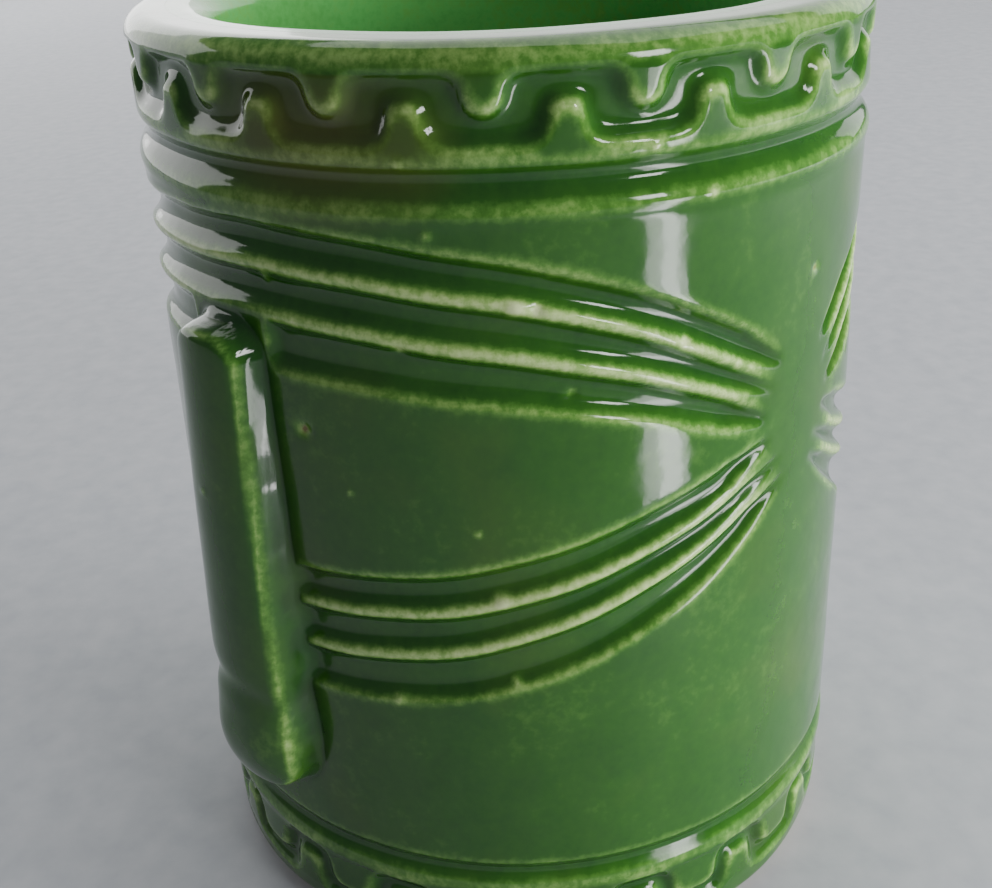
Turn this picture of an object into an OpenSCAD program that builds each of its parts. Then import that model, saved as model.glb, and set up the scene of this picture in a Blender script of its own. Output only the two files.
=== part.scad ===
// Tiki mug: a slip-cast earthenware tumbler with two carved mask faces and a green glaze coat.
// Z is up and the foot stands on Z = 0. The first face's nose is on -Y, the second on +Y.
// All lengths are in millimetres and all angles are measured round the wall from the first nose.

/* [Cup] */
// overall height, glaze included
height = 102; // [85:1:130]
// radius of the outside wall at the rim
rim_r = 38.7; // [32:0.1:48]
// radius of the outside wall just above the foot
base_r = 39.8; // [32:0.1:50]
// radius of the inside wall
inside_r = 31.6; // [24:0.1:42]
// radius of the narrower throat just under the rim
throat_r = 29.9; // [22:0.1:40]
// height of the inside floor
floor_h = 8; // [5:0.5:14]
// how far under the rim the throat starts to open out, and where it reaches the inside wall
throat_drop = [9, 22]; // [5:0.5:40]
// thickness of the glaze coat
glaze_t = 0.45; // [0.25:0.05:0.8]
// height of the glaze edge above the foot, below which the clay is bare
glaze_edge_h = 2.4; // [1:0.1:5]

/* [Foot] */
// inner radius of the foot ring's flat face
foot_in_r = 31; // [24:0.5:34]
// outer radius of the foot ring's flat face
foot_out_r = 36.2; // [34:0.1:39]
// width of the slope inside the foot ring
foot_slope = 1.4; // [0.4:0.1:3]
// depth of the recess inside the foot ring
recess_d = 1.8; // [0.5:0.1:4]

/* [Turned rings] */
// height, width and depth of the groove under the upper border
upper_groove = [90.7, 2.8, 1.0]; // [0.4:0.1:110]
// height, radius and stand-out of the bead under that groove
upper_bead = [88.0, 1.6, 0.3]; // [0.1:0.05:110]
// height, width and depth of the groove over the lower border
lower_groove = [14.8, 2.3, 0.8]; // [0.4:0.1:110]
// height, radius and stand-out of the bead under that groove
lower_bead = [12.4, 1.5, 0.25]; // [0.1:0.05:110]

/* [Key-pattern borders] */
// teeth round the mug that point the same way
teeth = 18; // [12:1:24]
// lower and upper height of the upper border's channel
upper_channel = [94.2, 99.3]; // [80:0.1:125]
// lower and upper height of the lower border's channel
lower_channel = [4.9, 10.9]; // [3:0.1:20]
// depth of both channels
channel_d = 1.0; // [0.4:0.1:1.6]
// width of the upper border's rising and hanging teeth
upper_tooth_w = [3.8, 3.9]; // [2:0.1:8]
// width of the lower border's rising and hanging teeth
lower_tooth_w = [4.6, 6.3]; // [2:0.1:8]
// width of the upper and of the lower channel where it passes the end of a tooth
tooth_gap = [1.7, 1.2]; // [0.8:0.1:3]
// angle of the first rising tooth of the upper and of the lower border
tooth_start = [10.7, 1.2]; // [0:0.1:20]

/* [Face lines] */
// heights of the four brow lines at the nose, half way and at the side of the mug
brow_lines = [[86.1, 83.2, 68.8], [82.2, 79.6, 65.1],
    [77.5, 74.9, 63.4], [72.4, 70.5, 60.3]]; // [55:0.1:95]
// angles where the three brow grooves fade out
brow_ends = [84, 83, 81]; // [60:1:88]
// heights of the four cheek lines at the nose, half way and at the side of the mug
cheek_lines = [[50.3, 54.4, 65.5], [46.3, 50.3, 62.6],
    [41.1, 45.8, 60.1], [36.2, 40.5, 58.5]]; // [25:0.1:75]
// angles where the three cheek grooves fade out
cheek_ends = [82, 85, 86]; // [60:1:88]
// how far from the middle of the nose the grooves beside it start
groove_start = 6.6; // [6:0.1:10]
// width of the ridge left between two grooves
ridge_w = 1.3; // [0.6:0.1:2.5]
// depth of the face grooves
groove_d = 1.1; // [0.5:0.1:1.8]

/* [Nose] */
// how far the nose sits off the middle of the face, to the left of someone looking at it
nose_off = 0.8; // [0:0.1:1.5]
// height of the nose's top and of its underside
nose_h = [76.4, 21.8]; // [15:0.1:90]
// half width of the nose at its top and just above the nostrils
nose_half_w = [4.9, 5.3]; // [3:0.1:8]
// how far the front of the nose is from the mug's axis, at the top and just above the nostrils
nose_reach = [42.9, 44.5]; // [41:0.1:50]
// radius of the rounded front of the nose
nose_round_r = 9; // [7:0.1:14]
// rounding of the nose's two top corners
nose_corner_r = 3.4; // [1:0.1:4]
// height of the middle of the nostrils
nostril_h = 27.4; // [26:0.1:32]
// radius of each nostril's swelling
nostril_r = 5.4; // [4.5:0.1:5.6]
// how far each nostril is from the middle of the nose
nostril_off = 0.9; // [0:0.1:2.5]
// how far the nostrils are from the mug's axis
nostril_reach = 45.6; // [44:0.1:47]

/* [Hidden] */
clay_colour = [0.86, 0.80, 0.68];
glaze_colour = [0.20, 0.47, 0.17];
lining_colour = [0.30, 0.58, 0.24];
$fn = 96;
reach = 4;           // how far a cutter runs out past the wall
rim_out_round = 2.4; // rounding of the rim's outer edge
rim_in_round = 3.0;  // rounding of the rim's inner edge
floor_round = 9;     // rounding between the inside wall and the floor
foot_round = 3.6;    // rounding between the foot and the wall
wall_start_h = 6;    // height where the foot's rounding has run into the wall
rim_out_arc = [2, 90];   // angles over which each rounding runs
rim_in_arc = [90, 176];
foot_arc = [-80, -6];
floor_arc = [0, -90];
crest_r = (rim_r + throat_r) / 2;
groove_steps = 7;    // straight lengths that follow each edge of a face groove
fade = 7;            // angle over which a groove narrows at its end
end_share = 0.22;    // share of a groove's width left at its very end

// outside wall radius at a height: a plain cone
function wall_r(h) = base_r + (rim_r - base_r) * h / height;

// points on an arc, from its first to its second angle
function arc(cr, ch, r, angles, n = 6) =
    [for (i = [0 : n]) let (a = angles[0] + (angles[1] - angles[0]) * i / n)
        [cr + r * cos(a), ch + r * sin(a)]];

// a smooth line round the face through its heights at 0, 45 and 90 degrees
function line_h(h, t) =
    let (level = (h[0] + h[2] - sqrt(2) * h[1]) / (2 - sqrt(2)),
         dip = level - h[2],
         swing = h[0] - level - dip)
    level + swing * cos(t) + dip * cos(2 * t);

// outside half profile of the cup: the foot is bare, and above it the wall is drawn in by the coat
function outside(in) = concat(
    [[0, recess_d], [foot_in_r - foot_slope, recess_d], [foot_in_r, 0], [foot_out_r, 0]],
    arc(base_r - foot_round - in, foot_round, foot_round, foot_arc),
    [[wall_r(wall_start_h) - in, wall_start_h]],
    arc(rim_r - rim_out_round - in, height - rim_out_round - in, rim_out_round, rim_out_arc));

// inside half profile, from the rim's crest down to the floor, drawn out by the glaze thickness
function inside(in) = concat(
    arc(throat_r + rim_in_round + in, height - rim_in_round - in, rim_in_round, rim_in_arc),
    [[throat_r + in, height - throat_drop[0]], [inside_r + in, height - throat_drop[1]]],
    arc(inside_r - floor_round + in, floor_h + floor_round - in, floor_round, floor_arc),
    [[0, floor_h - in]]);

module cup_solid(in) {
    rotate_extrude() polygon(concat(outside(in), [[crest_r, height - in], [0, height - in]]));
}

module cup_hollow(in) {
    rotate_extrude() polygon(concat(inside(in), [[0, height + reach], [crest_r, height + reach]]));
}

// round groove turned in the wall: its centre stays put, so the coat has an even thickness
module ring_groove(g, in) {
    r = (g[1] * g[1] / 4 + g[2] * g[2]) / (2 * g[2]);
    rotate_extrude() translate([wall_r(g[0]) + r - g[2], g[0]]) circle(r = r + in, $fn = 32);
}

module ring_bead(b, in) {
    rotate_extrude() translate([wall_r(b[0]) + b[2] - b[1], b[0]]) circle(r = b[1] - in, $fn = 32);
}

// one tooth of a border: a radial peg with a round end, up = 1 rises and up = -1 hangs
module tooth(angle, w, root_h, tip_h, up, in) {
    half = w / 2 - in;
    end_h = tip_h - up * w / 2;
    long = abs(end_h - root_h) + 1;
    rotate([0, 0, angle]) translate([0, -rim_r + 2 * reach, 0]) rotate([90, 0, 0])
        linear_extrude(3 * reach) {
            translate([0, end_h]) circle(r = half, $fn = 32);
            translate([-half, up > 0 ? end_h - long : end_h]) square([2 * half, long]);
        }
}

// channel of a key-pattern border with its teeth left standing
module border_cut(channel, tooth_w, start, gap, in) {
    step = 360 / teeth;
    deep = wall_r(channel[0]) - channel_d - in;
    difference() {
        rotate_extrude() translate([deep, channel[0] - in])
            square([base_r + reach - deep, channel[1] - channel[0] + 2 * in]);
        for (i = [0 : teeth - 1]) {
            tooth(start + i * step, tooth_w[0], channel[0], channel[1] - gap, 1, in);
            tooth(start + (i + 0.5) * step, tooth_w[1], channel[1], channel[0] + gap, -1, in);
        }
    }
}

// one groove of the face seen from the side: a band between two lines, narrowing at its end
module groove_band(upper, lower, edge_u, edge_l, end, in) {
    mid_r = (rim_r + base_r) / 2;
    rows = [for (i = [0 : groove_steps])
        let (t = end * i / groove_steps,
             top = line_h(upper, t) - edge_u, low = line_h(lower, t) + edge_l,
             half = (top - low) / 2 * min(1, end_share + (end - t) / fade) + in,
             past_end = i == groove_steps ? in : 0)
        [past_end - mid_r * cos(t), (top + low) / 2 + half, (top + low) / 2 - half]];
    outer = -mid_r - reach;
    polygon(concat(
        [[outer, rows[0][2]], [outer, rows[0][1]]],
        [for (row = rows) [row[0], row[1]]],
        [for (i = [groove_steps : -1 : 0]) [rows[i][0], rows[i][2]]]));
}

// three grooves between four lines, run straight across the mug from side to side
module groove_bundle(lines, ends, in) {
    for (i = [0 : 2])
        rotate([90, 0, 90]) linear_extrude(2 * base_r + reach, center = true)
            groove_band(lines[i], lines[i + 1], i == 0 ? 0 : ridge_w / 2,
                i == 2 ? 0 : ridge_w / 2, ends[i], in);
}

// the grooves of one face: those level with the nose stop beside it, the others run over it
module face_cut(in) {
    low = nose_h[1];
    high = upper_bead[0];
    kept_low = cheek_lines[3][0] - reach;
    kept_high = brow_lines[2][0];
    difference() {
        intersection() {
            rotate_extrude() polygon([
                [wall_r(low) - groove_d - in, low], [base_r + reach, low],
                [base_r + reach, high], [wall_r(high) - groove_d - in, high]]);
            union() {
                groove_bundle(brow_lines, brow_ends, in);
                groove_bundle(cheek_lines, cheek_ends, in);
            }
        }
        translate([in - groove_start - nose_off, -base_r - reach, kept_low])
            cube([2 * (groove_start - in), base_r, kept_high - kept_low]);
    }
}

// the cup's outside with all its relief, drawn in by the glaze thickness where asked
module outer_form(in) {
    difference() {
        union() {
            cup_solid(in);
            ring_bead(upper_bead, in);
            ring_bead(lower_bead, in);
        }
        ring_groove(upper_groove, in);
        ring_groove(lower_groove, in);
        border_cut(upper_channel, upper_tooth_w, tooth_start[0], tooth_gap[0], in);
        border_cut(lower_channel, lower_tooth_w, tooth_start[1], tooth_gap[1], in);
        for (turn = [0, 180]) rotate([0, 0, turn]) face_cut(in);
    }
}

// front view of the nose's bar: sides that widen downwards and two rounded top corners
module nose_outline(in) {
    low_half = nose_half_w[1] - in;
    top_half = nose_half_w[0] - in;
    shoulder_h = nose_h[0] - in - nose_corner_r;
    polygon([[-low_half, nostril_h], [low_half, nostril_h],
             [top_half, shoulder_h], [-top_half, shoulder_h]]);
    for (side = [-1, 1])
        translate([side * (top_half - nose_corner_r), shoulder_h])
            circle(r = nose_corner_r, $fn = 32);
    translate([nose_corner_r - top_half, shoulder_h - nose_corner_r])
        square([2 * (top_half - nose_corner_r), 2 * nose_corner_r]);
}

// nose on the -Y side: a bar with a rounded front and two nostrils, still running into the wall
module nose_form(in) {
    lean = atan((nose_reach[1] - nose_reach[0]) / (nose_h[0] - nostril_h));
    translate([-nose_off, 0, 0]) intersection() {
        translate([0, -reach, 0]) rotate([90, 0, 0]) linear_extrude(base_r + 3 * reach)
            nose_outline(in);
        translate([0, nose_round_r - nose_reach[1], nostril_h]) rotate([-lean, 0, 0])
            translate([0, 0, -reach]) cylinder(r = nose_round_r - in, h = height);
    }
    for (side = [-1, 1])
        translate([side * nostril_off - nose_off, nostril_r - nostril_reach, nostril_h])
            sphere(r = nostril_r - in);
}

module nose(in) {
    difference() {
        nose_form(in);
        cup_solid(in);
    }
}

// fired clay cup with its cut relief
module clay_body() {
    color(clay_colour) difference() {
        outer_form(glaze_t);
        cup_hollow(glaze_t);
    }
}

// clay nose of the first face, joined to the wall with slip
module nose_front() {
    color(clay_colour) nose(glaze_t);
}

// clay nose of the second face
module nose_rear() {
    color(clay_colour) rotate([0, 0, 180]) nose(glaze_t);
}

// green coat over the outside wall, both noses and the outer half of the rim
module outer_glaze() {
    color(glaze_colour) difference() {
        union() {
            outer_form(0);
            for (turn = [0, 180]) rotate([0, 0, turn]) nose_form(0);
        }
        outer_form(glaze_t);
        for (turn = [0, 180]) rotate([0, 0, turn]) nose_form(glaze_t);
        translate([0, 0, -reach]) cylinder(r = base_r + reach, h = glaze_edge_h + reach);
        translate([0, 0, height / 2]) cylinder(r = crest_r, h = height);
    }
}

// green lining inside the cup, from the rim's crest down to the floor
module inner_glaze() {
    color(lining_colour) difference() {
        intersection() {
            cup_hollow(glaze_t);
            cylinder(r = crest_r, h = height);
        }
        cup_hollow(0);
    }
}

clay_body();
nose_front();
nose_rear();
outer_glaze();
inner_glaze();
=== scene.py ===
import math

import bpy
import numpy as np
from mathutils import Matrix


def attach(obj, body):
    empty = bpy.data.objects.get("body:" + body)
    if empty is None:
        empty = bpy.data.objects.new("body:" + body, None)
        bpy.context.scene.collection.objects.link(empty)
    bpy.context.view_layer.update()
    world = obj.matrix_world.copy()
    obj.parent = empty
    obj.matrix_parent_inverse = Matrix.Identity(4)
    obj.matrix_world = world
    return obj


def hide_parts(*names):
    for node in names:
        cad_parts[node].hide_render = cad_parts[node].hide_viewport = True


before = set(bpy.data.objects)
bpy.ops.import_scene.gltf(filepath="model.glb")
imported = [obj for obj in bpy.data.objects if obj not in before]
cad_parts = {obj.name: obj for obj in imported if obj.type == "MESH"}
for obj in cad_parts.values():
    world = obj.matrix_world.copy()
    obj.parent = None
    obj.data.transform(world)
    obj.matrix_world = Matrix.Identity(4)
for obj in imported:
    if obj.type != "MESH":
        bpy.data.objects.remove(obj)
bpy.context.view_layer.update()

# ---- Camera
# A hand-held view from a little above the mug, 43 degrees round to the right of the first nose.
camera = bpy.data.objects.new("camera", bpy.data.cameras.new("camera"))
camera.location = (0.09450, -0.10134, 0.11781)
camera.rotation_euler = [math.radians(angle) for angle in (62.964, 2.361, 42.773)]
camera.data.lens = 44.94
camera.data.clip_start = 0.004
bpy.context.scene.collection.objects.link(camera)
bpy.context.scene.camera = camera
CAMERA_TURN = 43.0


# ---- Floor and light
# A pale table top, a tall window to the right of the view, a bright wall behind and dim fill.
def new_material(name):
    material = bpy.data.materials.new(name)
    material.use_nodes = True
    tree = material.node_tree
    tree.nodes.clear()
    out = tree.nodes.new("ShaderNodeOutputMaterial")
    surface = tree.nodes.new("ShaderNodeBsdfPrincipled")
    tree.links.new(surface.outputs["BSDF"], out.inputs["Surface"])
    return material, tree, surface


def noise(tree, scale, detail=3.0, roughness=0.5, coords=None):
    texture = tree.nodes.new("ShaderNodeTexNoise")
    texture.inputs["Scale"].default_value = scale
    texture.inputs["Detail"].default_value = detail
    texture.inputs["Roughness"].default_value = roughness
    if coords is None:
        coords = tree.nodes.new("ShaderNodeTexCoord").outputs["Object"]
    askew = tree.nodes.new("ShaderNodeMapping")
    askew.inputs["Location"].default_value = (0.31, 0.17, 0.23)
    askew.inputs["Rotation"].default_value = (0.6, 0.4, 0.9)
    tree.links.new(coords, askew.inputs["Vector"])
    tree.links.new(askew.outputs["Vector"], texture.inputs["Vector"])
    return texture.outputs["Fac"]


def remap(tree, value, low, high, to_low, to_high):
    node = tree.nodes.new("ShaderNodeMapRange")
    tree.links.new(value, node.inputs["Value"])
    for name, number in (("From Min", low), ("From Max", high), ("To Min", to_low), ("To Max", to_high)):
        node.inputs[name].default_value = number
    return node.outputs["Result"]


def colour_ramp(tree, value, stops):
    ramp = tree.nodes.new("ShaderNodeValToRGB")
    elements = ramp.color_ramp.elements
    while len(elements) < len(stops):
        elements.new(0.5)
    for element, (position, colour) in zip(elements, stops):
        element.position = position
        element.color = (*colour, 1)
    tree.links.new(value, ramp.inputs["Fac"])
    return ramp.outputs["Color"]


def bump(tree, surface, height, strength, distance, below=None):
    node = tree.nodes.new("ShaderNodeBump")
    node.inputs["Strength"].default_value = strength
    node.inputs["Distance"].default_value = distance
    tree.links.new(height, node.inputs["Height"])
    if below is not None:
        tree.links.new(below, node.inputs["Normal"])
    tree.links.new(node.outputs["Normal"], surface.inputs["Normal"])
    return node.outputs["Normal"]


table_material, tree, surface = new_material("pale_table_top")
tree.links.new(
    colour_ramp(tree, noise(tree, 220, 4.0), [(0.3, (0.33, 0.345, 0.37)), (0.7, (0.39, 0.40, 0.42))]),
    surface.inputs["Base Color"])
surface.inputs["Roughness"].default_value = 0.75
table_mesh = bpy.data.meshes.new("table_top")
table_mesh.from_pydata([(-3, -3, 0), (3, -3, 0), (3, 3, 0), (-3, 3, 0)], [], [(0, 1, 2, 3)])
table_top = bpy.data.objects.new("table_top", table_mesh)
table_mesh.materials.append(table_material)
bpy.context.scene.collection.objects.link(table_top)

world = bpy.data.worlds.new("room")
world.use_nodes = True
world.node_tree.nodes["Background"].inputs["Color"].default_value = (0.86, 0.91, 1.0, 1)
world.node_tree.nodes["Background"].inputs["Strength"].default_value = 0.17
bpy.context.scene.world = world


def light_panel(name, turn, distance, height, width, tall, watts, aim_height=0.05):
    """An area light, turned round the mug from the camera's side, facing the mug's axis."""
    angle = math.radians(turn + CAMERA_TURN)
    data = bpy.data.lights.new(name, "AREA")
    data.shape, data.size, data.size_y = "RECTANGLE", width, tall
    data.energy = watts
    panel = bpy.data.objects.new(name, data)
    panel.location = (distance * math.sin(angle), -distance * math.cos(angle), height)
    pitch = math.atan2(height - aim_height, distance)
    panel.rotation_euler = (math.pi / 2 - pitch, 0, angle)
    bpy.context.scene.collection.objects.link(panel)
    return panel


# The key lights the wall but is not mirrored in the glaze, where it would outline every groove in white.
light_panel("key", 88, 0.70, 0.17, 0.60, 0.24, 10.2).visible_glossy = False
light_panel("ceiling", 150, 0.55, 1.30, 1.8, 1.2, 13.0)
light_panel("bright_wall", 172, 1.20, 0.50, 2.6, 0.9, 13.0)
light_panel("left_wall", -135, 0.85, 0.32, 1.2, 0.62, 5.0)
light_panel("high_window", 43, 0.70, 0.35, 0.13, 0.17, 1.4)
light_panel("window_glare", 42, 0.150, 0.040, 0.032, 0.080, 0.055, aim_height=0.040)
light_panel("window_middle", 43, 0.145, 0.040, 0.014, 0.080, 0.026, aim_height=0.040)


# ---- Fired clay cup
# One slip-cast piece of cream earthenware: foot ring, floor, wall and thick lip. The turned rings,
# the two key-pattern borders and the face grooves are in the wall. Only the foot is bare.
MM = 0.001
HEIGHT, RIM_R, BASE_R = 102.0, 38.7, 39.8
COAT = 0.45
CREST_R = 34.3
LIP_ROUND = 2.4
LIP_H = HEIGHT - LIP_ROUND
TEETH_STEP = 20.0
THROAT_R, THROAT_WIDENS = 29.9, 1.7
LIP_IN_ROUND = 3
FLOOR_H, FLOOR_ROUND, FLOOR_FLAT_R = 8, 9, 22.6
GROOVE_DEPTH, BORDER_DEPTH = 1.15, 1.05
RIDGE_HALF = 0.65
NOSE_CLEAR = 6.1
BROW_LINES = [(86.1, 83.2, 68.8), (82.2, 79.6, 65.1), (77.5, 74.9, 63.4), (72.4, 70.5, 60.3)]
CHEEK_LINES = [(50.3, 54.4, 65.5), (46.3, 50.3, 62.6), (41.1, 45.8, 60.1), (36.2, 40.5, 58.5)]
BROW_ENDS, CHEEK_ENDS = (84, 83, 81), (82, 85, 86)
NOSE_OFF = 0.8
CELL_TURN, CELL_RISE = 0.25, 0.2
turns = np.arange(0, 360, CELL_TURN)
rises = np.arange(0, HEIGHT + CELL_RISE / 2, CELL_RISE)
turn, rise = np.meshgrid(turns, rises)
MM_PER_DEGREE = math.radians(1) * (RIM_R + BASE_R) / 2
from_nose = (turn + 90) % 180 - 90
round_face = np.abs(from_nose)
hand_cut = (0.13 * np.sin(np.radians(3 * turn + 40)) + 0.09 * np.sin(np.radians(8 * turn + 10))
            + 0.05 * np.sin(np.radians(19 * turn)))


def wall_r(height):
    return BASE_R + (RIM_R - BASE_R) * height / HEIGHT


def line_height(heights, angle):
    """A smooth line round the face through its heights at 0, 45 and 90 degrees."""
    level = (heights[0] + heights[2] - math.sqrt(2) * heights[1]) / (2 - math.sqrt(2))
    dip = level - heights[2]
    swing = heights[0] - level - dip
    return level + swing * np.cos(np.radians(angle)) + dip * np.cos(np.radians(2 * angle))


def rounded(depth_in):
    """A quarter-circle wall: 0 at the edge, 1 once depth_in reaches 1."""
    return np.sqrt(1 - (1 - np.clip(depth_in, 0, 1)) ** 2)


def soft_least(edge, *distances):
    """The least of several distances, with its corners rounded over about edge."""
    return -edge * np.log(sum(np.exp(-np.clip(d, -9, 9) / edge) for d in distances))


def box_depth(across, up, half_across, half_up, corner):
    """Distance in from the edge of a box with rounded corners, below 0 outside it."""
    q1, q2 = np.abs(across) - half_across + corner, np.abs(up) - half_up + corner
    return corner - np.hypot(np.maximum(q1, 0), np.maximum(q2, 0)) - np.minimum(np.maximum(q1, q2), 0)


def face_groove(upper, lower, edge_up, edge_low, end, beside_nose):
    top = line_height(upper, round_face) - edge_up + hand_cut
    low = line_height(lower, round_face) + edge_low + hand_cut
    half = (top - low) / 2 * np.clip(0.22 + (end - round_face) / 9, 0, 1)
    inside = half - np.abs(rise - (top + low) / 2)
    inside = soft_least(0.25, inside, (end - round_face) * MM_PER_DEGREE + 0.5)
    if beside_nose:
        off_middle = np.abs(BASE_R * np.sin(np.radians(from_nose)) + NOSE_OFF)
        inside = soft_least(0.3, inside, off_middle - NOSE_CLEAR)
    return GROOVE_DEPTH * rounded(inside / 1.2)


def key_border(bottom, top, rising_w, hanging_w, start, gap):
    """Depth of a border's channel, which snakes between rising and hanging teeth."""
    tooth = np.floor((turn - start) / TEETH_STEP + 0.5)
    uneven = 0.45 * np.sin(tooth * 2.4 + start)
    rising = ((turn - start + TEETH_STEP / 2) % TEETH_STEP - TEETH_STEP / 2 - uneven) * MM_PER_DEGREE
    hanging = ((turn - start) % TEETH_STEP - TEETH_STEP / 2) * MM_PER_DEGREE
    rising_tip, hanging_tip = top - gap, bottom + gap
    rising_half = rising_w / 2 - 0.25 + 0.13 * (rising_tip - rise)
    hanging_half = hanging_w / 2 - 0.1 + 0.08 * (rise - hanging_tip)
    long = top - bottom
    rising_in = box_depth(rising, rise - rising_tip + long, rising_half, long, 1.25)
    hanging_in = box_depth(hanging, rise - hanging_tip - long, hanging_half, long, 1.7)
    inside = 0.38 + soft_least(0.85, -rising_in, -hanging_in, rise - bottom, top - rise)
    return BORDER_DEPTH * rounded(inside / 0.8)


def turned_groove(height, width, depth):
    r = (width ** 2 / 4 + depth ** 2) / (2 * depth)
    return np.clip(np.sqrt(np.clip(r ** 2 - (rise - height) ** 2, 0, None)) - (r - depth), 0, None)


def turned_bead(height, r, stand_out):
    return np.clip(np.sqrt(np.clip(r ** 2 - (rise - height) ** 2, 0, None)) - (r - stand_out), 0, None)


carved = np.zeros_like(turn)
for bundle, ends in ((BROW_LINES, BROW_ENDS), (CHEEK_LINES, CHEEK_ENDS)):
    for i in range(3):
        carved = np.maximum(carved, face_groove(
            bundle[i], bundle[i + 1], 0 if i == 0 else RIDGE_HALF, 0 if i == 2 else RIDGE_HALF, ends[i],
            beside_nose=bundle is CHEEK_LINES or i == 2))
carved = np.maximum(carved, key_border(94.2, 99.3, 3.8, 3.9, 10.7, 1.7))
carved = np.maximum(carved, key_border(4.9, 10.9, 4.6, 6.3, 1.2, 1.4))
carved = np.maximum(carved, turned_groove(90.7, 2.8, 1.0))
carved = np.maximum(carved, turned_groove(14.8, 2.3, 0.8))
wall_relief = turned_bead(88.0, 1.6, 0.3) + turned_bead(12.4, 1.5, 0.25) - carved


def sample(field, angle, height):
    """A value between the field's cells, at an angle in degrees and a height in millimetres."""
    column = (np.asarray(angle) % 360) / CELL_TURN
    row = np.clip(np.asarray(height) / CELL_RISE, 0, len(rises) - 1.001)
    c, r = np.floor(column).astype(int), np.floor(row).astype(int)
    u, v = column - c, row - r
    c, c_next = c % len(turns), (c + 1) % len(turns)
    return ((field[r, c] * (1 - u) + field[r, c_next] * u) * (1 - v)
            + (field[r + 1, c] * (1 - u) + field[r + 1, c_next] * u) * v)


def ring_at(radius, angle, height):
    a = np.radians(angle)
    height = np.broadcast_to(height, a.shape)
    return np.stack([radius * np.sin(a), -radius * np.cos(a), height], 1)


def ringed_skin(name, rings, ends, values=None):
    """A mesh over rings of points. ends: 'joined' makes the last ring meet the first, 'closed' puts a
    point at each end. values holds one number per point and name, kept on the mesh for its glaze."""
    count, width = len(rings), len(rings[0])
    points = np.concatenate(rings) * MM
    rows = np.arange(count if ends == "joined" else count - 1)
    columns = np.arange(width)
    a = rows[:, None] * width + columns
    b = rows[:, None] * width + (columns + 1) % width
    up = ((rows + 1) % count)[:, None] * width
    c, d = up + (columns + 1) % width, up + columns
    quads = np.stack([a, b, c, d], 2).reshape(-1, 4)
    loops, sizes = quads.ravel(), np.full(len(quads), 4)
    if ends == "closed":
        tips = [rings[0].mean(0) * MM, rings[-1].mean(0) * MM]
        first, last = len(points), len(points) + 1
        points = np.concatenate([points, tips])
        turn_back = (count - 1) * width
        fans = [np.stack([np.full(width, first), (columns + 1) % width, columns], 1),
                np.stack([np.full(width, last), turn_back + columns, turn_back + (columns + 1) % width], 1)]
        loops = np.concatenate([loops, *[fan.ravel() for fan in fans]])
        sizes = np.concatenate([sizes, np.full(2 * width, 3)])
    mesh = bpy.data.meshes.new(name)
    mesh.vertices.add(len(points))
    mesh.vertices.foreach_set("co", points.ravel().astype(np.float32))
    mesh.loops.add(len(loops))
    mesh.loops.foreach_set("vertex_index", loops.astype(np.int32))
    mesh.polygons.add(len(sizes))
    starts = np.concatenate([[0], np.cumsum(sizes)[:-1]])
    mesh.polygons.foreach_set("loop_start", starts.astype(np.int32))
    mesh.polygons.foreach_set("loop_total", sizes.astype(np.int32))
    for key, numbers in (values or {}).items():
        filled = np.zeros(len(points), np.float32)
        filled[:len(numbers)] = numbers
        mesh.attributes.new(key, "FLOAT", "POINT").data.foreach_set("value", filled)
    mesh.update(calc_edges=True)
    mesh.validate()
    mesh.shade_smooth()
    piece = bpy.data.objects.new(name, mesh)
    bpy.context.scene.collection.objects.link(piece)
    return piece


# Rings of points are closest together where the nose's steep sides stand.
def ring_turns():
    spacing = []
    angle = 0.0
    while angle < 360:
        spacing.append(angle)
        near = abs((angle + 90) % 180 - 90)
        angle += 0.28 if 6.0 < near < 9.6 else 0.62
    return np.array(spacing)


ring_angles = ring_turns()
coarse_rises = np.concatenate([np.arange(3.2, 19, 0.8), np.arange(19, LIP_H - 0.2, 1.25)])


def least_near(field, reach_rise, reach_turn):
    """The field's lowest value within a few cells each way."""
    low = field.copy()
    for shift in range(-reach_rise, reach_rise + 1):
        low = np.minimum(low, np.roll(field, shift, 0))
    lower = low.copy()
    for shift in range(-reach_turn, reach_turn + 1):
        lower = np.minimum(lower, np.roll(low, shift, 1))
    return lower


under_coat = least_near(wall_relief, 6, 3) - COAT


def under_coat_r(angle, height):
    return wall_r(height) + sample(under_coat, angle, height)


def inside_r(height):
    """Inside wall of the glazed cup: the throat opens out under the lip."""
    blend = np.clip((93 - height) / 13, 0, 1)
    return THROAT_R + THROAT_WIDENS * blend * blend * (3 - 2 * blend)


def lip_wave(angles):
    return 0.05 * np.sin(np.radians(2 * angles + 20)) + 0.03 * np.sin(np.radians(7 * angles)) - 0.08


def inside_rings(angles, coat, steps):
    """Rings down the inside from the crest of the rim to the middle of the floor."""
    rings = [ring_at(r, angles, HEIGHT - coat + lip_wave(angles))
             for r in (CREST_R - 0.01, CREST_R - 0.05, CREST_R - 0.12, 33.7, 33.2)]
    for a in np.radians(np.linspace(90, 176, 9)):
        rise_in = (LIP_IN_ROUND + lip_wave(angles)) * math.sin(a)
        rings.append(ring_at(THROAT_R + LIP_IN_ROUND + coat + LIP_IN_ROUND * math.cos(a), angles,
                             HEIGHT - LIP_IN_ROUND - coat + rise_in))
    floor_start = FLOOR_H + FLOOR_ROUND
    for height in np.linspace(97, floor_start, steps):
        rings.append(ring_at(inside_r(height) + coat, angles, height))
    for a in np.radians(np.linspace(-6, -90, 12)):
        rings.append(ring_at(FLOOR_FLAT_R + (FLOOR_ROUND + coat) * math.cos(a), angles,
                             floor_start + (FLOOR_ROUND + coat) * math.sin(a)))
    for r in (18, 13, 8, 4, 1):
        rings.append(ring_at(r, angles, FLOOR_H - coat - 0.25 * (1 - r / FLOOR_FLAT_R)))
    return rings


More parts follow.
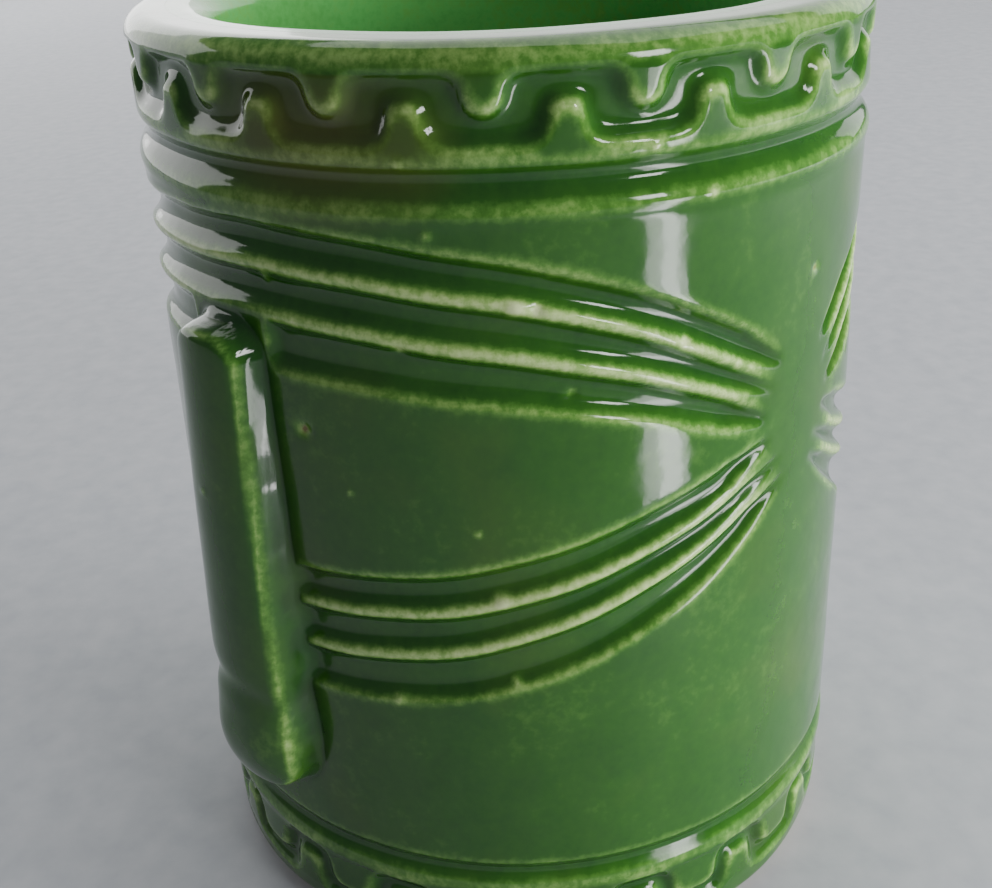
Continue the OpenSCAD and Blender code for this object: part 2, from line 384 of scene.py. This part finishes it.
# The foot from the middle of its recess to the start of the wall, as radius and height.
FOOT_PROFILE = [
    (1, 1.8), (12, 1.8), (22, 1.8), (28.6, 1.8), (29.3, 1.7), (29.9, 1.2), (30.4, 0.5), (30.8, 0.12),
    (31.2, 0.0), (33.6, 0.0), (35.8, 0.0), (36.4, 0.1), (37.2, 0.45), (38.1, 1.1), (38.75, 1.9),
    (39.1, 2.6)]
clay_rings = [ring_at(r, ring_angles, h) for r, h in FOOT_PROFILE]
clay_rings += [ring_at(under_coat_r(ring_angles, h), ring_angles, h) for h in coarse_rises]
clay_rings += [ring_at(RIM_R - LIP_ROUND - COAT + LIP_ROUND * math.cos(a), ring_angles,
                       LIP_H - COAT + LIP_ROUND * math.sin(a))
               for a in np.radians((20, 45, 70, 90))]
clay_rings += inside_rings(ring_angles, COAT, 24)
clay_cup = ringed_skin("clay_body", clay_rings, "closed")

clay_material, tree, surface = new_material("bare_cream_earthenware")
coords = tree.nodes.new("ShaderNodeTexCoord").outputs["Object"]
tree.links.new(
    colour_ramp(tree, noise(tree, 900, 6.0, 0.62, coords),
                [(0.25, (0.44, 0.35, 0.23)), (0.5, (0.66, 0.57, 0.42)), (0.75, (0.76, 0.69, 0.55))]),
    surface.inputs["Base Color"])
tree.links.new(remap(tree, noise(tree, 260, 4.0, 0.5, coords), 0.3, 0.7, 0.72, 0.92),
               surface.inputs["Roughness"])
bump(tree, surface, noise(tree, 2600, 5.0, 0.7, coords), 0.5, 0.00012)
clay_cup.data.materials.append(clay_material)
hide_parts("clay_body")
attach(clay_cup, "root")


# ---- Noses
# Two long bars of the same clay, each with a rounded front and swollen nostrils, joined to the wall
# with slip before firing. The coat of glaze goes over them and pools in the crevice at each side.
NOSE_TOP, NOSE_FOOT = 76.2, 22.0
NOSE_ROUND, NOSE_CORNER = 10.0, 3.6

nose_side = BASE_R * np.sin(np.radians(from_nose)) + NOSE_OFF


def nose_half_width(height):
    taper = 4.8 + 0.95 * np.clip((74 - height) / 40, 0, 1)
    nostril_swell = 0.45 * np.exp(-((height - 28.2) / 4.2) ** 2)
    fold_pinch = 0.2 * np.exp(-((height - 35.0) / 1.6) ** 2)
    return taper + nostril_swell - fold_pinch


def nose_rise(side, height):
    """The nose's height above the wall, 0 outside its outline, and the distance in from its outline."""
    middle, half_long = (NOSE_TOP + NOSE_FOOT) / 2, (NOSE_TOP - NOSE_FOOT) / 2
    inside = box_depth(side, height - middle, nose_half_width(height), half_long, NOSE_CORNER)
    front = 42.9 + 2.1 * np.clip((76 - height) / 42, 0, 1)
    dome = NOSE_ROUND - np.sqrt(NOSE_ROUND ** 2 - np.clip(side, -7, 7) ** 2)
    nostrils = sum(0.55 * np.exp(-((side - at) ** 2 + (height - 28.4) ** 2) / 3.3 ** 2)
                   for at in (-3.2, 3.2))
    fold_h = 35.6 - 0.2 * side - 0.03 * side ** 2
    fold = 0.6 * (0.5 + 0.5 * (np.clip(side, -5, 5) / 5) ** 2) * np.exp(-((height - fold_h) / 1.6) ** 2)
    proud = front - dome + nostrils - fold - wall_r(height)
    round_top = 0.6 + 0.4 * rounded((NOSE_TOP - height) / 2.5)
    tuck = 0.5 + 0.5 * rounded((height - NOSE_FOOT) / 5.0) * round_top
    return proud * tuck * rounded(inside / 0.45), inside


nose_relief, nose_inside = nose_rise(nose_side, rise)
nose_relief = np.where(nose_inside > 0, nose_relief, 0)


def nose_piece(node, turn_round):
    heights = np.linspace(NOSE_FOOT + 0.4, NOSE_TOP - 0.4, 72)
    spread = np.sin(np.radians(np.linspace(-90, 90, 25)))
    rings = []
    for height in heights:
        corner = rounded(min(NOSE_TOP - height, height - NOSE_FOOT) / 2.8)
        half = (nose_half_width(height) - 0.5) * (0.35 + 0.65 * corner)
        side = spread * half
        angle = np.degrees(np.arcsin((side - NOSE_OFF) / BASE_R))
        out = wall_r(height) - 1.2 + np.maximum(nose_rise(side, height)[0], 0)
        back = np.full_like(out, wall_r(height) - 1.7)
        rings.append(np.concatenate([
            ring_at(out, angle + turn_round, height), ring_at(back, angle + turn_round, height)[::-1]]))
    piece = ringed_skin(node, rings, "closed")
    piece.data.materials.append(clay_material)
    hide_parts(node)
    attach(piece, "root")


nose_piece("nose_front", 0)
nose_piece("nose_rear", 180)


# ---- Outer glaze
# A fused coat of clear green glass over the wall, both noses and the outer half of the rim. It runs
# thin and pale off every edge, pools dark in the grooves and ends in a rolled edge above the foot.
def soften(field, spread):
    """The field blurred over a spread in millimetres, all round the wall."""
    up = np.fft.fftfreq(field.shape[0], CELL_RISE)[:, None]
    along = np.fft.rfftfreq(field.shape[1], CELL_TURN * MM_PER_DEGREE)
    keep = np.exp(-2 * (math.pi * spread) ** 2 * (up ** 2 + along ** 2))
    return np.fft.irfft2(np.fft.rfft2(field) * keep, s=field.shape)


chance = np.random.default_rng(11)


def cloud(spread):
    """Smooth random mottling, about -2 to 2, with patches about as wide as spread."""
    field = soften(chance.standard_normal(turn.shape), spread)
    return field / field.std()


relief = np.where(nose_inside > 0, np.maximum(nose_relief, wall_relief), wall_relief)
relief -= 0.25 * np.exp(-(np.clip(-nose_inside, 0, None) / 0.7) ** 2) * (nose_inside <= 0) * (
    (rise > NOSE_FOOT) & (rise < NOSE_TOP))
glaze_surface = np.where(nose_inside > -1.2, soften(relief, 0.27), soften(relief, 0.36))
glaze_surface = soften(glaze_surface, 0.12) + 0.02 * cloud(2.6) + 0.04 * cloud(8.0)
pooled = soften(wall_relief, 0.85) - soften(wall_relief, 0.36)
# A rise or hollow slighter than POOL_LEAST doesn't move the glaze.
POOL_LEAST, POOL_DEEPENS, EDGE_THINS = 0.035, 0.85, 2.5
pool_rate = np.where(pooled > 0, POOL_DEEPENS, EDGE_THINS)
glaze_depth = 1.0 + pool_rate * np.sign(pooled) * np.clip(np.abs(pooled) - POOL_LEAST, 0, 1)
edge_depth = 1.05 - 0.66 * np.exp(-((nose_inside - 0.62) / 0.19) ** 2)
edge_depth -= 0.16 * np.exp(-((nose_side - 3.4) ** 2 + (rise - 29.5) ** 2) / 2.6 ** 2)
edge_depth -= 0.14 * np.exp(-((nose_side + 2.0) ** 2 / 9 + (rise - 36.4) ** 2 / 3))
glaze_depth = np.where(nose_inside > 0, edge_depth, glaze_depth + 0.5 * np.exp(-(nose_inside / 0.8) ** 2))
glaze_depth = soften(np.clip(glaze_depth, 0.12, 1.9), 0.15)

# Small faults left by the firing: pinholes, specks and beads of glaze, as
# turn, height, radius, stand-out (below 0 for a pit) and how brown the spot is.
FAULTS = [
    (12.4, 66.6, 0.75, -0.35, 1.0), (24.0, 37.2, 0.55, 0.22, 0.0), (43.6, 79.9, 0.7, 0.25, 0.0),
    (46.5, 79.6, 0.5, -0.4, 0.1), (67.0, 74.9, 0.5, -0.3, 0.0), (40.2, 50.0, 0.7, 0.2, 0.0),
    (42.0, 40.3, 0.55, 0.2, 0.0), (37.5, 57.6, 0.35, 0.12, 0.0), (19.2, 60.8, 0.3, 0.12, 0.0),
    (62.0, 92.8, 0.45, 0.2, 0.0), (33.0, 86.4, 0.45, 0.16, 0.0), (51.0, 71.2, 0.4, -0.25, 0.1),
    (30.0, 92.4, 0.4, 0.16, 0.0), (28.0, 75.8, 0.5, -0.3, 0.0), (70.0, 88.2, 0.4, 0.15, 0.0)]
for _ in range(40):
    FAULTS.append((chance.uniform(90, 375) % 360, chance.uniform(8, 96), chance.uniform(0.25, 0.6),
                   chance.choice([-0.25, 0.14]), chance.choice([0, 0, 0, 0.8])))
brown = 0.42 * np.exp(-(((turn - 16 + 180) % 360 - 180) / 23) ** 2 - ((rise - 94) / 9) ** 2)
for spot_turn, spot_rise, spot_r, stand_out, how_brown in FAULTS:
    across = (turn - spot_turn + 180) % 360 - 180
    near = np.exp(-((across * MM_PER_DEGREE) ** 2 + (rise - spot_rise) ** 2) / spot_r ** 2)
    glaze_surface += stand_out * near
    glaze_depth -= 0.55 * near
    brown += 1.3 * how_brown * near ** 4

COAT_MOST_R = 39.88
glaze_surface = np.where(nose_inside > -1, glaze_surface,
                         np.minimum(glaze_surface, COAT_MOST_R - wall_r(rise)))

fine_rises = np.concatenate([
    np.arange(2.9, 17, 0.31), np.arange(17, 22, 0.6), np.arange(22, 36, 0.4), np.arange(36, 88, 0.3),
    np.arange(88, LIP_H, 0.3)])
outer_rings, depths, browns = [], [], []


def lay(radius, angle, height, depth, spot):
    outer_rings.append(ring_at(radius, angle, height))
    depths.append(np.broadcast_to(depth, angle.shape))
    browns.append(np.broadcast_to(spot, angle.shape))


GLAZE_EDGE_H = 2.35
glaze_edge = (GLAZE_EDGE_H + 0.28 * np.sin(np.radians(3 * ring_angles + 70))
              + 0.16 * np.sin(np.radians(11 * ring_angles)))
foot_r = np.interp(2.5, (1.9, 2.6), (38.75, 39.1))
lay(foot_r - 0.1, ring_angles, glaze_edge - 0.05, 0.5, 0.2)
lay(foot_r + 0.25, ring_angles, glaze_edge + 0.02, 0.6, 0.1)
lay(foot_r + 0.48, ring_angles, glaze_edge + 0.28, 0.9, 0)
for height in fine_rises:
    low = min(max((height - 2.9) / 2.1, 0), 1)
    local = glaze_edge + 0.6 + (height - 2.9) * (5.0 - glaze_edge - 0.6) / 2.1 if height < 5 else height
    radius = wall_r(local) + sample(glaze_surface, ring_angles, local) - 0.18 * (1 - low)
    lay(radius, ring_angles, local, sample(glaze_depth, ring_angles, local),
        sample(brown, ring_angles, local))
for a in np.radians(np.linspace(8, 90, 12)):
    lift = LIP_H + LIP_ROUND * math.sin(a) + lip_wave(ring_angles) * math.sin(a)
    thin = 0.80 - 0.16 * math.exp(-((math.degrees(a) - 38) / 20) ** 2)
    lay(RIM_R - LIP_ROUND + LIP_ROUND * math.cos(a), ring_angles, lift, thin, 0)
for r in (35.6, CREST_R + 0.12, CREST_R + 0.04, CREST_R):
    lay(r, ring_angles, HEIGHT + lip_wave(ring_angles), 0.76, 0)
under_rings = [ring_at(r, ring_angles, h) for r, h in ((CREST_R, 101.3), (36.0, 101.2))]
under_rings += [ring_at(under_coat_r(ring_angles, h) - 0.02, ring_angles, h) for h in coarse_rises[::-1]]
for ring in under_rings:
    outer_rings.append(ring)
    depths.append(np.full(len(ring_angles), 0.9))
    browns.append(np.zeros(len(ring_angles)))
outer_coat = ringed_skin("outer_glaze", outer_rings, "joined",
                         {"glaze_depth": np.concatenate(depths), "brown": np.concatenate(browns)})


def green_glaze(name, stops, gloss):
    """Clear green glass over cream clay: pale where it is thin, dark bottle green where it pools."""
    material, tree, surface = new_material(name)
    coords = tree.nodes.new("ShaderNodeTexCoord").outputs["Object"]
    links = tree.links

    def attribute(key):
        node = tree.nodes.new("ShaderNodeAttribute")
        node.attribute_name = key
        return node.outputs["Fac"]

    def add(*values):
        total = values[0]
        for value in values[1:]:
            node = tree.nodes.new("ShaderNodeMath")
            links.new(total, node.inputs[0])
            links.new(value, node.inputs[1])
            total = node.outputs[0]
        return total

    patches = remap(tree, noise(tree, 95, 3.0, 0.55, coords), 0.3, 0.7, -0.07, 0.07)
    mottle = remap(tree, noise(tree, 420, 4.0, 0.6, coords), 0.3, 0.7, -0.045, 0.045)
    broken = tree.nodes.new("ShaderNodeMath")
    broken.operation = "MULTIPLY"
    links.new(remap(tree, noise(tree, 1050, 3.0, 0.6, coords), 0.35, 0.65, -0.05, 0.05), broken.inputs[0])
    links.new(remap(tree, attribute("glaze_depth"), 0.35, 1.0, 3.2, 0.8), broken.inputs[1])
    depth = add(attribute("glaze_depth"), patches, mottle, broken.outputs[0])
    shade = remap(tree, depth, 0.0, 2.0, 0.0, 1.0)
    colour = colour_ramp(tree, shade, stops)
    warm = tree.nodes.new("ShaderNodeMix")
    warm.data_type = "RGBA"
    links.new(remap(tree, noise(tree, 60, 2.0, 0.5, coords), 0.52, 0.75, 0.0, 0.2), warm.inputs["Factor"])
    links.new(colour, warm.inputs["A"])
    warm.inputs["B"].default_value = (0.10, 0.13, 0.02, 1)
    pin = tree.nodes.new("ShaderNodeMix")
    pin.data_type = "RGBA"
    links.new(remap(tree, attribute("brown"), 0.15, 0.8, 0, 0.9), pin.inputs["Factor"])
    links.new(warm.outputs["Result"], pin.inputs["A"])
    pin.inputs["B"].default_value = (0.15, 0.085, 0.025, 1)
    links.new(pin.outputs["Result"], surface.inputs["Base Color"])
    links.new(remap(tree, noise(tree, 300, 3.0, 0.5, coords), 0.3, 0.7, gloss, gloss + 0.07),
              surface.inputs["Roughness"])
    surface.inputs["IOR"].default_value = 1.52
    ripple = bump(tree, surface, noise(tree, 210, 2.0, 0.4, coords), 0.35, 0.00016)
    bump(tree, surface, noise(tree, 1300, 3.0, 0.5, coords), 0.12, 0.00004, below=ripple)
    return material


outer_coat.data.materials.append(green_glaze("green_glass_coat", [
    (0.00, (0.58, 0.68, 0.34)), (0.14, (0.42, 0.57, 0.21)), (0.26, (0.22, 0.38, 0.095)),
    (0.38, (0.070, 0.190, 0.026)), (0.48, (0.023, 0.098, 0.009)), (0.62, (0.011, 0.062, 0.007)),
    (0.80, (0.005, 0.034, 0.005)), (1.00, (0.002, 0.016, 0.004))], 0.055))
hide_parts("outer_glaze")
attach(outer_coat, "root")


# ---- Inner glaze
# The lining, poured in and out before the outside was coated: the same green, even on the wall and
# deeper where it settled round the edge of the floor.
lining_angles = np.arange(0, 360, 2.0)
lining_rings = inside_rings(lining_angles, 0.0, 64)
lining_depths = []
for ring in lining_rings:
    height = ring[:, 2]
    settled = (0.35 * np.exp(-np.clip(height - FLOOR_H, 0, None) / 5)
               + 0.05 * np.sin(np.radians(3 * lining_angles)))
    near_lip = -0.05 * np.exp(-((height - 101.5) / 2.2) ** 2)
    lining_depths.append(0.80 + settled + near_lip)
for ring in lining_rings[15:-5]:
    ring[:, :2] *= (1 + 0.0009 * np.sin(np.radians(5 * lining_angles + ring[0, 2] * 2)))[:, None]
backs = inside_rings(lining_angles, COAT - 0.02, 24)
lining_depths += [np.full(len(lining_angles), 0.8)] * len(backs)
lining = ringed_skin("inner_glaze", lining_rings + backs[::-1], "joined",
                     {"glaze_depth": np.concatenate(lining_depths),
                      "brown": np.zeros(len(lining_angles) * (len(lining_rings) + len(backs)))})
lining.data.materials.append(green_glaze("green_glass_lining", [
    (0.00, (0.56, 0.68, 0.34)), (0.26, (0.20, 0.40, 0.095)), (0.34, (0.100, 0.31, 0.064)),
    (0.40, (0.085, 0.34, 0.082)), (0.55, (0.044, 0.24, 0.046)), (1.00, (0.005, 0.04, 0.010))], 0.09))
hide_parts("inner_glaze")
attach(lining, "root")
